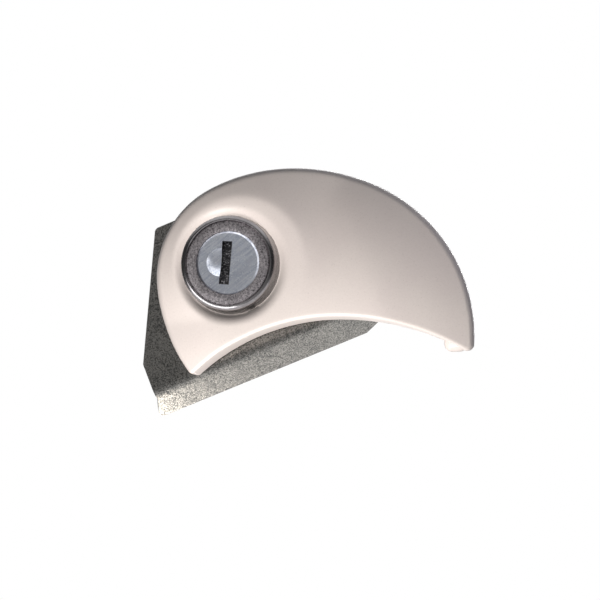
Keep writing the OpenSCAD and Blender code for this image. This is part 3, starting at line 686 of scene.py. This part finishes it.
@dataclass
class CrescentCover:
    """The cast crescent cover: a domed shell with a round pad and a dish for the lock."""

    # Outer edge: radii of its arcs from the left tip over the top, the first centre, and where they join.
    low_r: float = 43.4
    left_r: float = 27.0
    top_r: float = 50.8
    right_r: float = 44.8
    low_c: Span = (22.4, -1.6)
    turns: Point = (185.0, 117.0, 63.0)
    # Hollow edge: its highest point and the radii left and right of it. Then the tips, out and inside.
    hollow: Span = (28.0, -14.4)
    hollow_r: Span = (57.2, 69.6)
    tips: Span = (1.2, 1.8)
    inner_tips: Span = (0.4, 0.4)
    # Wall, height of its back edge, and radii of the rounded edges on the hollow and on the outer side.
    wall: float = 2.2
    back_h: float = 3.3
    edge_r: Span = (0.9, 1.6)
    inner_edge_r: Span = (0.6, 0.6)
    # Dome: height of its ridge and radius across it, and a large ball that lowers it towards the ends.
    crown_h: float = 13.4
    fall_r: float = 115.0
    ball_c: Span = (18.5, -20.0)
    ball_h: float = 15.7
    ball_r: float = 113.0
    dome_soft: float = 0.5
    # Pad: middle, radius, height, depth of its bowl, and how far its shoulder runs for a fall of 1 mm.
    pad_c: Span = (2.6, 0.8)
    pad_r: float = 17.3
    pad_h: float = 12.1
    pad_bowl: float = 0.8
    pad_run: float = 2.75
    pad_soft: float = 0.9
    join_soft: float = 0.5
    # Dish: radii of its foot and brim, height of its floor, and how far its limit runs for a rise of 1 mm.
    dish_r: Span = (13.3, 17.0)
    dish_h: float = 10.6
    rise_run: float = 10.0
    dish_soft: float = 0.4
    # Room for the lock's works behind: height, radius, slope of its far wall, and the pad's rounding there.
    ceiling_h: float = 9.0
    room_r: float = 17.4
    room_slope: float = 2.0
    under_soft: float = 0.1
    # Boss for the housing: its radii, its back and front height, and the broken edge of boss and lugs.
    boss_r: Span = (9.0, 13.5)
    boss_h: Span = (6.85, 10.0)
    cast_ease: float = 0.25
    # Stop lugs: turn and side start of each, then inner radius, back and front of its root and its claw.
    lug_sides: tuple[Span, Span] = ((115.2, 0.0), (14.8, -3.0))
    lug_steps: tuple[Point, Point] = ((12.8, 6.9, 10.0), (14.3, 3.3, 8.0))
    lug_out: float = 17.6
    lug_w: float = 3.0
    # Ribs: their places across, their thickness, and how far they stand in from the back edge.
    rib_x: Span = (32.0, 46.0)
    rib_t: float = 1.6
    rib_in: float = 1.0
    # Foot under the right tip, which holds the buffer.
    foot_low: Point = (56.4, -23.5, 1.4)
    foot_high: Point = (62.5, -16.5, 6.4)
    foot_round: float = 2.1
    # Bore for the lock: radii behind and in front of the seat, the seat, its far end, and its open middle.
    bore_r: Span = (10.1, 11.4)
    seat_h: float = 10.3
    bore_end: float = 20.0
    core_r: float = 0.01
    # Mesh: steps along and rows across, crowding at the tips, rows of a rounded edge with their limits,
    # steps up a side wall, points on a rib's top, and faces round a ring and across the foot's edges.
    stations: int = 300
    rows: int = 64
    crowd: float = 0.7
    near: tuple[float, ...] = (0.0, 0.03, 0.11, 0.24, 0.42, 0.65, 1.0)
    near_most: float = 0.3
    near_reach: float = 1.1
    climb: int = 6
    rib_steps: int = 24
    ring_steps: int = 96
    foot_steps: int = 6

    def edges(self, inset: float, tips: Span) -> tuple[Array, Array]:
        """Draws the outline as two lines from the left tip to the right tip.

        Args:
            inset: How far the outline is drawn in.
            tips: Radii of the left and the right tip.

        Returns:
            The outer line and the hollow line.
        """
        low_c = np.array(self.low_c)
        left_c = low_c + (self.low_r - self.left_r) * heading(self.turns[0])
        top_c = left_c + (self.left_r - self.top_r) * heading(self.turns[1])
        right_c = top_c + (self.top_r - self.right_r) * heading(self.turns[2])
        crown = np.array(self.hollow)
        left_h, right_h = (crown - np.array([0.0, r]) for r in self.hollow_r)
        low, right = self.low_r - inset, self.right_r - inset
        hollow_left, hollow_right = (r + inset for r in self.hollow_r)
        start = crossing(low_c, low - tips[0], left_h, hollow_left + tips[0], -1)
        end = crossing(right_c, right - tips[1], right_h, hollow_right + tips[1], 1)
        from_low, from_hollow = bearing(start - low_c), bearing(left_h - start)
        to_right, to_hollow = bearing(end - right_c, -180), bearing(right_h - end, -180)
        first, last = (from_low + from_hollow) / 2, (to_right + to_hollow) / 2
        outer = [arc(start, tips[0], first, from_low), arc(low_c, low, from_low, self.turns[0]),
                 arc(left_c, self.left_r - inset, *self.turns[:2]),
                 arc(top_c, self.top_r - inset, *self.turns[1:]),
                 arc(right_c, right, self.turns[2], to_right), arc(end, tips[1], to_right, last)]
        inner = [arc(start, tips[0], first, from_hollow),
                 arc(left_h, hollow_left, bearing(start - left_h), 90),
                 arc(right_h, hollow_right, 90, bearing(end - right_h)),
                 arc(end, tips[1], to_hollow, last)]
        return np.vstack(outer), np.vstack(inner)

    def dome(self, x: Array, y: Array) -> Array:
        """Finds the plain domed face.

        Args:
            x: Places across.
            y: Places up.

        Returns:
            Its heights.
        """
        ridge_r = sum(self.hollow_r) / 2
        fall = np.hypot(x - self.hollow[0], y - (self.hollow[1] - ridge_r)) - ridge_r
        torus = self.crown_h - self.fall_r + np.sqrt(self.fall_r ** 2 - fall ** 2)
        across, up = x - self.ball_c[0], y - self.ball_c[1]
        ball = self.ball_h - self.ball_r + np.sqrt(self.ball_r ** 2 - across ** 2 - up ** 2)
        return soft_min(torus, ball, self.dome_soft)

    def pad(self, x: Array, y: Array, soft: float) -> Array:
        """Finds the pad and its gently sloping shoulder.

        Args:
            x: Places across.
            y: Places up.
            soft: Width of the rounding between pad and shoulder.

        Returns:
            Their heights.
        """
        reach = np.hypot(x - self.pad_c[0], y - self.pad_c[1])
        bowl = self.pad_bowl * np.minimum(reach / self.pad_r, 1) ** 2
        beyond = reach - self.pad_r
        return self.pad_h + bowl - soft_max(beyond, np.zeros_like(beyond), soft) / self.pad_run

    def face(self, x: Array, y: Array) -> Array:
        """Finds the front face, with the pad and the dish.

        Args:
            x: Places across.
            y: Places up.

        Returns:
            Its heights.
        """
        r = np.hypot(x, y)
        raised = soft_max(self.dome(x, y), self.pad(x, y, self.pad_soft), self.join_soft)
        start, end = self.dish_r
        inward = np.clip((end - r) / (end - start), 0, 1)
        brim = self.pad_h + self.pad_bowl
        dish = brim - (brim - self.dish_h) * inward ** 2 + np.maximum(r - end, 0) / self.rise_run
        return soft_min(raised, dish, self.dish_soft)

    def ceiling(self, x: Array, y: Array) -> Array:
        """Finds the inner face behind the wall, with the room for the lock's works.

        Args:
            x: Places across.
            y: Places up.

        Returns:
            Its heights.
        """
        r = np.hypot(x, y)
        under = np.maximum(self.dome(x, y), self.pad(x, y, self.under_soft)) - self.wall
        slope = self.ceiling_h + self.room_slope * np.maximum(r - self.room_r - self.wall, 0)
        return np.where(r < self.room_r, self.ceiling_h, np.minimum(under, slope))

    def skin(self, bm: Mesh, inset: float, tips: Span, edge_r: Span,
             top: Callable[[Array, Array], Array]) -> list[list[Vert]]:
        """Adds one skin of the shell: side wall, rounded edge, face, rounded edge, side wall.

        Args:
            bm: The mesh that gets the skin.
            inset: How far its outline is drawn in.
            tips: Radii of its two tips.
            edge_r: Radii of its rounded edges, along the hollow side and along the outer side.
            top: Height of its face at x and y.

        Returns:
            Its back edge, as the vertices along the hollow side and along the outer side.
        """
        lines = self.edges(inset, tips)
        u = np.linspace(0, 1, self.stations + 1)
        fractions = u - self.crowd * np.sin(2 * math.pi * u) / (2 * math.pi)
        outer, hollow = (along(line, fractions) for line in lines)
        width = np.maximum(np.linalg.norm(outer - hollow, axis=1), MERGE)
        reaches = (np.minimum(self.near_most, self.near_reach * r / width)[:, None] for r in edge_r)
        low, high = (np.array(self.near) * reach for reach in reaches)
        between = np.linspace(0, 1, self.rows + 1)[1:-1]
        middle = low[:, -1:] + between * (1 - low[:, -1:] - high[:, -1:])
        t = np.hstack([low, middle, 1 - high[:, ::-1]])
        points = hollow[:, None, :] + t[:, :, None] * (outer - hollow)[:, None, :]
        rim = np.vstack(lines)
        tree = KDTree(len(rim))
        for i, (x, y) in enumerate(rim):
            tree.insert((x, y, 0), i)
        tree.balance()
        depth = np.array([[tree.find((x, y, 0))[2] for x, y in row] for row in points])
        depth[:, [0, -1]] = 0
        soft = edge_r[0] + (edge_r[1] - edge_r[0]) * t * t * (3 - 2 * t)
        part = np.clip(depth / soft, 0, 1)
        heights = top(points[..., 0], points[..., 1]) - soft * (1 - np.sqrt(part * (2 - part)))
        climb = np.linspace(0, 1, self.climb + 1)[:-1]
        low, high = (self.back_h + climb * (heights[:, [k]] - self.back_h) for k in (0, -1))
        z = np.hstack([low, heights, high[:, ::-1]])
        xy = np.concatenate([np.repeat(points[:, :1], self.climb, axis=1), points,
                             np.repeat(points[:, -1:], self.climb, axis=1)], axis=1)
        rows = z.shape[1] - 1
        back = {0: {}, rows: {}}
        for vert in bmesh.ops.create_grid(bm, x_segments=self.stations, y_segments=rows, size=1.0)["verts"]:
            i = round((vert.co.x + 1) / 2 * self.stations)
            j = round((vert.co.y + 1) / 2 * rows)
            vert.co = (*xy[i, j], z[i, j])
            if j in back:
                back[j][i] = vert
        return [[side[i] for i in sorted(side)] for side in back.values()]

    def rib(self, x: float) -> Mesh:
        """Makes a stiffening rib across the hollow back.

        Args:
            x: Its middle, across.

        Returns:
            The rib.
        """
        outer, hollow = self.edges(self.wall / 2, self.inner_tips)
        upper = outer[outer[:, 1] > 0]
        low, high = (line[np.argmin(abs(line[:, 0] - x)), 1] for line in (hollow, upper))
        ys = np.linspace(low, high, self.rib_steps)
        tops = self.dome(np.full_like(ys, x), ys) - self.wall / 2
        base = self.back_h + self.rib_in
        left = x - self.rib_t / 2
        corners = [(left, high, base), (left, low, base), *((left, y, h) for y, h in zip(ys, tops))]
        bm = bmesh.new()
        side = bm.faces.new([bm.verts.new(corner) for corner in corners])
        grown = bmesh.ops.extrude_face_region(bm, geom=[side])["geom"]
        moved = [g for g in grown if isinstance(g, Vert)]
        bmesh.ops.translate(bm, vec=(self.rib_t, 0, 0), verts=moved)
        bmesh.ops.recalc_face_normals(bm, faces=bm.faces)
        return bm

    def shell(self) -> Mesh:
        """Makes the hollow shell.

        Returns:
            The closed shell.
        """
        bm = bmesh.new()
        outside = self.skin(bm, 0.0, self.tips, self.edge_r, self.face)
        inside = self.skin(bm, self.wall, self.inner_tips, self.inner_edge_r, self.ceiling)
        for a, b in zip(outside, inside):
            for i in range(self.stations):
                bm.faces.new((a[i], a[i + 1], b[i + 1], b[i]))
        bmesh.ops.remove_doubles(bm, verts=bm.verts, dist=MERGE)
        bmesh.ops.dissolve_degenerate(bm, edges=bm.edges, dist=MERGE / 10)
        bmesh.ops.recalc_face_normals(bm, faces=bm.faces)
        return bm

    def build(self) -> None:
        """Builds the cover with its boss, stop lugs, ribs, foot and bore."""
        (inner, outer), (back, front) = self.boss_r, self.boss_h
        boss = spun([(inner, back), (outer, back), (outer, front), (inner, front)], self.ring_steps)
        ease(boss, self.cast_ease)
        lugs = [block((near, start, low), (self.lug_out, start + self.lug_w, high), turn, self.cast_ease)
                for turn, start in self.lug_sides for near, low, high in self.lug_steps]
        foot = block(self.foot_low, self.foot_high, 0.0, self.foot_round, self.foot_steps)
        tail, head = self.bore_r
        bore = spun([(self.core_r, 0.0), (tail, 0.0), (tail, self.seat_h), (head, self.seat_h),
                     (head, self.bore_end), (self.core_r, self.bore_end)], self.ring_steps)
        added = [boss, *lugs, *(self.rib(x) for x in self.rib_x), foot]
        worked = carve(self.shell(), [*((bm, "UNION") for bm in added), (bore, "DIFFERENCE")])
        finish_piece("crescent_cover", worked, "handle", "cream_enamel", "cover", sharp=40.0)


@dataclass
class Bezel:
    """The turned and plated ring round the lock's head."""

    inner_r: float = 11.35
    outer_r: float = 13.2
    taper: float = 0.4
    low: float = 10.4
    high: float = 16.7
    shoulder: float = 1.4
    # Broken edges at its back, inside and outside.
    back_ease: Span = (0.15, 0.2)
    # Points of its inner lead: out from the inner radius, and down from the top.
    lead: tuple[Span, ...] = ((0.35, 0.04), (0.05, 0.33), (0.0, 0.43))
    curve_points: int = 14
    ring_steps: int = 180

    def build(self) -> None:
        """Builds the ring with its round shoulder and its inner lead."""
        crest = self.outer_r - self.taper - self.shoulder
        curve = [(crest + self.shoulder * math.cos(a), self.high - self.shoulder * (1 - math.sin(a)))
                 for a in np.linspace(0, math.pi / 2, self.curve_points)[:-1]]
        lead = [(self.inner_r + out, self.high - down) for out, down in self.lead]
        inside, outside = self.back_ease
        back = [(self.inner_r, self.low + inside), (self.inner_r + inside, self.low),
                (self.outer_r - outside, self.low), (self.outer_r, self.low + outside)]
        ring = spun([*back, *curve, *lead], self.ring_steps)
        finish_piece("turned_bezel", ring, "handle", "bezel_chrome", "bezel", sharp=50.0)


@dataclass
class PlugFace:
    """The plug's plated face: a bright chamfer, the key slot and a half-moon dimple beside it."""

    radius: float = 8.5
    low: float = 14.8
    high: float = 15.8
    # Chamfer and the edge under it, each as how far in and how deep.
    chamfer: Span = (0.5, 0.2)
    chamfer_ease: Span = (0.04, 0.08)
    # Key slot: width and length, its middle, how far its cutter reaches past the plate, and its turn.
    slot: Span = (2.7, 11.6)
    slot_off: float = -0.6
    slot_over: float = 1.0
    lean: float = -4.7
    dimple_r: float = 3.8
    dimple_t: float = 1.0
    core_r: float = 0.005
    ring_steps: int = 128
    ball_steps: int = 96

    def build(self) -> None:
        """Builds the face plate with its slot and dimple."""
        across, deep = self.chamfer
        out, down = self.chamfer_ease
        plate = spun([(self.core_r, self.low), (self.radius, self.low),
                      (self.radius, self.high - deep - down), (self.radius - out, self.high - deep),
                      (self.radius - across, self.high), (self.core_r, self.high)], self.ring_steps)
        width, length = self.slot
        edge = self.slot_off - width / 2
        key_slot = block((edge, -length / 2, self.low - self.slot_over),
                         (edge + width, length / 2, self.high + self.slot_over), self.lean)
        ball_r = (self.dimple_r ** 2 + self.dimple_t ** 2) / (2 * self.dimple_t)
        ball = bmesh.new()
        steps = self.ball_steps
        bmesh.ops.create_uvsphere(ball, u_segments=steps, v_segments=steps, radius=ball_r)
        bmesh.ops.translate(ball, vec=(edge, 0, self.high + ball_r - self.dimple_t), verts=ball.verts)
        half = bmesh.ops.bisect_plane(ball, geom=[*ball.verts, *ball.edges, *ball.faces], dist=MERGE / 10,
                                      plane_co=(edge + width / 2, 0, 0), plane_no=(1, 0, 0),
                                      clear_outer=True)
        rim = [g for g in half["geom_cut"] if isinstance(g, bmesh.types.BMEdge)]
        bmesh.ops.contextual_create(ball, geom=rim)
        lean = Matrix.Rotation(math.radians(self.lean), 3, "Z")
        bmesh.ops.rotate(ball, cent=(0, 0, 0), matrix=lean, verts=ball.verts)
        cut = carve(plate, [(ball, "DIFFERENCE"), (key_slot, "DIFFERENCE")])
        finish_piece("plug_face_plate", cut, "plug", "plug_nickel", "plug_face", sharp=20.0)


@dataclass
class Hardware:
    """The solids that keep their shape: some get broken edges, and all get a finish."""

    drawn: Names = ("cover", "bezel", "plug_face")
    # Solids that show, each with the width of its broken edges.
    eased: tuple[tuple[str, float], ...] = (
        ("mounting_bracket", 0.25), ("lock_housing", 0.12), ("housing_nut", 0.15), ("retaining_ring", 0.15),
        ("end_cap", 0.15), ("dust_shutter", 0.06), ("stop_pin", 0.1))

    def build(self) -> None:
        """Copies each shown piece with eased edges, and dresses the rest as they are."""
        record = frame["record"]
        slots = {row["node"]: row["material_slot"] for row in record["subparts"]}
        bodies = {node: body for body, nodes in record["behaviour"]["bodies"].items() for node in nodes}
        for node, width in self.eased:
            finish_piece(f"{node}_eased", eased_copy(node, width), bodies[node], slots[node], node)
        done = {*self.drawn, *(node for node, _ in self.eased)}
        for node, slot in slots.items():
            if node not in done:
                materials = frame["nodes"][node].data.materials
                materials.clear()
                materials.append(paint(slot))
                LOG.info("%s: the solid as it is, in %s", node, slot)


COVER = ("crescent_cover",)
BRACKET = ("mounting_bracket_eased",)
RIMS = ("turned_bezel", "lock_housing_eased")
FACE = ("plug_face_plate",)


@dataclass(frozen=True)
class Lamp:
    """A square soft lamp that faces the lock, with its place and side in metres and its power in watts.

    The pieces in clear cast no shadow in its light, and those in unlit get none of it.
    """

    name: str
    at: Point
    size: float
    power: float
    colour: str = "#FFFFFF"
    clear: Names = ()
    unlit: Names = ()
    aim: Point = (0.02, 0.0, 0.0)

    def build(self) -> None:
        """Hangs the lamp and sets which pieces it passes by."""
        data = bpy.data.lights.new(self.name, "AREA")
        data.size = self.size
        data.energy = self.power
        data.color = linear(self.colour)[:3]
        lamp = bpy.data.objects.new(self.name, data)
        lamp.location = self.at
        lamp.rotation_mode = "QUATERNION"
        lamp.rotation_quaternion = (Vector(self.at) - Vector(self.aim)).to_track_quat("Z", "Y")
        bpy.context.scene.collection.objects.link(lamp)
        for side, pieces in (("blocker_collection", self.clear), ("receiver_collection", self.unlit)):
            if pieces:
                group = bpy.data.collections.new(f"{self.name}_{side}")
                for piece in pieces:
                    group.objects.link(bpy.data.objects[piece])
                for entry in group.collection_objects:
                    entry.light_linking.link_state = "EXCLUDE"
                setattr(lamp.light_linking, side, group)


@dataclass
class Studio:
    """Camera, lamps, pale floor and white surround. Places are in metres."""

    camera_at: Point = (0.08823, -0.45014, -0.05647)
    azimuth: float = 9.0
    elevation: float = -6.0
    lens: float = 100.85
    sensor: float = 36.0
    clip: Span = (0.01, 50.0)
    floor_at: Point = (0.0, 1.2, -0.9)
    floor_half: float = 2.0
    floor_colour: str = "#F2F1EF"
    floor_rough: float = 0.9
    # Soft steps of brightness in the room that mirrors show: axis, start and end along it, and both levels.
    # It is bright behind the lock and above, with a glint behind the camera and from below.
    glows: tuple[tuple[int, float, float, float, float], ...] = (
        (1, 0.15, 0.85, 0.06, 1.0), (1, -0.99, -0.80, 0.28, 0.0), (2, 0.4, 0.85, 0.0, 1.0),
        (2, -0.5, -0.1, 0.34, 0.0))
    fill_colour: str = "#F0F1F6"
    fill: float = 0.07
    # The key lights the cover from below, the edge lamp from the right, the back lamp everything from
    # behind, and the glint the bracket.
    key: Lamp = Lamp("key", (-0.002, -0.119, -0.12), 0.06, 0.345, "#FFFAF5", RIMS + FACE,
                     RIMS + FACE + BRACKET)
    edge: Lamp = Lamp("edge", (0.19, -0.01, 0.10), 0.12, 0.055, "#F6F5FF", (), RIMS + FACE + BRACKET)
    back: Lamp = Lamp("back", (0.06, 0.34, 0.12), 0.2, 0.9)
    glint: Lamp = Lamp("glint", (-0.034, 0.042, -0.108), 0.012, 0.15, "#FFF8EE", (), COVER + RIMS + FACE)
    # Lamps round the lock's head: distance in front, side, then bearings, distance and power of two sets.
    strip_out: float = 0.17
    strip_size: float = 0.09
    rim_turns: tuple[int, ...] = (-105, -128, -151)
    rim_lamp: Span = (0.2, 0.16)
    face_turns: tuple[int, ...] = (0, 45, 90, 135)
    face_lamp: Span = (0.16, 0.05)

    def camera(self) -> None:
        """Sets the camera at the photograph's viewing angle."""
        a, e = math.radians(self.azimuth), math.radians(self.elevation)
        back = Vector((math.sin(a) * math.cos(e), -math.cos(a) * math.cos(e), math.sin(e)))
        right = Vector((math.cos(a), math.sin(a), 0))
        turned = Matrix((right, back.cross(right), back)).transposed().to_4x4()
        data = bpy.data.cameras.new("camera")
        data.lens = self.lens
        data.sensor_width = self.sensor
        data.clip_start, data.clip_end = self.clip
        camera = bpy.data.objects.new("camera", data)
        camera.matrix_world = Matrix.Translation(self.camera_at) @ turned
        bpy.context.scene.collection.objects.link(camera)
        bpy.context.scene.camera = camera

    def strips(self) -> list[Lamp]:
        """Places the lamps round the lock's head that draw the highlights on its rims and its face.

        Returns:
            The lamps.
        """
        lamps = []
        for turns, (reach, power), unlit in ((self.rim_turns, self.rim_lamp, COVER + BRACKET + FACE),
                                             (self.face_turns, self.face_lamp, COVER + BRACKET + RIMS)):
            for turn in turns:
                across, up = reach * heading(turn)
                at = (float(across), -self.strip_out, float(up))
                name = f"strip_{turn % 360}"
                lamps.append(Lamp(name, at, self.strip_size, power, clear=RIMS, unlit=unlit))
        return lamps

    def surround(self) -> None:
        """Sets a world that is white to the eye, a patterned room to mirrors and soft light to the rest."""
        world = bpy.data.worlds.new("surround")
        bpy.context.scene.world = world
        world.use_nodes = True
        tree = world.node_tree
        tree.nodes.clear()
        way = add_node(tree, "TexCoord", {})["Generated"]
        split = add_node(tree, "SeparateXYZ", {}, {0: way})
        parts = []
        for axis, start, end, first, last in self.glows:
            steps = {1: start, 2: end, 3: first, 4: last, "interpolation_type": "SMOOTHSTEP"}
            parts.append(add_node(tree, "MapRange", steps, {0: split[axis]})[0])
        room, *others = parts
        for other in others:
            room = add_node(tree, "Math", {"operation": "ADD"}, {0: room, 1: other})[0]
        straight = add_node(tree, "LightPath", {})["Is Camera Ray"]
        room = add_node(tree, "Math", {"operation": "MAXIMUM"}, {0: room, 1: straight})[0]
        seen = add_node(tree, "Background", {"Color": (1, 1, 1, 1)}, {"Strength": room})
        soft = add_node(tree, "Background", {"Color": linear(self.fill_colour), "Strength": self.fill})
        mix = add_node(tree, "MixShader", {}, {0: seen_rays(tree), 1: soft[0], 2: seen[0]})
        add_node(tree, "OutputWorld", {}, {0: mix[0]})

    def floor(self) -> None:
        """Lays a pale floor well below the lock."""
        bm = bmesh.new()
        bmesh.ops.create_grid(bm, x_segments=2, y_segments=2, size=self.floor_half)
        bmesh.ops.translate(bm, vec=self.floor_at, verts=bm.verts)
        floor = mesh_object("floor", bm)
        material, tree, shader, _ = Finish("floor_paper").start()
        shader.inputs["Base Color"].default_value = linear(self.floor_colour)
        shader.inputs["Roughness"].default_value = self.floor_rough
        shader.inputs["Emission Color"].default_value = (1, 1, 1, 1)
        tree.links.new(seen_rays(tree), shader.inputs["Emission Strength"])
        floor.data.materials.append(material)

    def build(self) -> None:
        """Sets up the whole studio."""
        bpy.context.scene.view_settings.view_transform = "Standard"
        self.camera()
        self.surround()
        self.floor()
        for lamp in (self.key, self.edge, self.back, *self.strips(), self.glint):
            lamp.build()


def main() -> None:
    """Builds the lock's looks and its studio."""
    logging.basicConfig(level=logging.INFO, format="%(message)s")
    for part in (CrescentCover(), Bezel(), PlugFace(), Hardware(), Studio()):
        part.build()


if __name__ == "__main__":
    main()
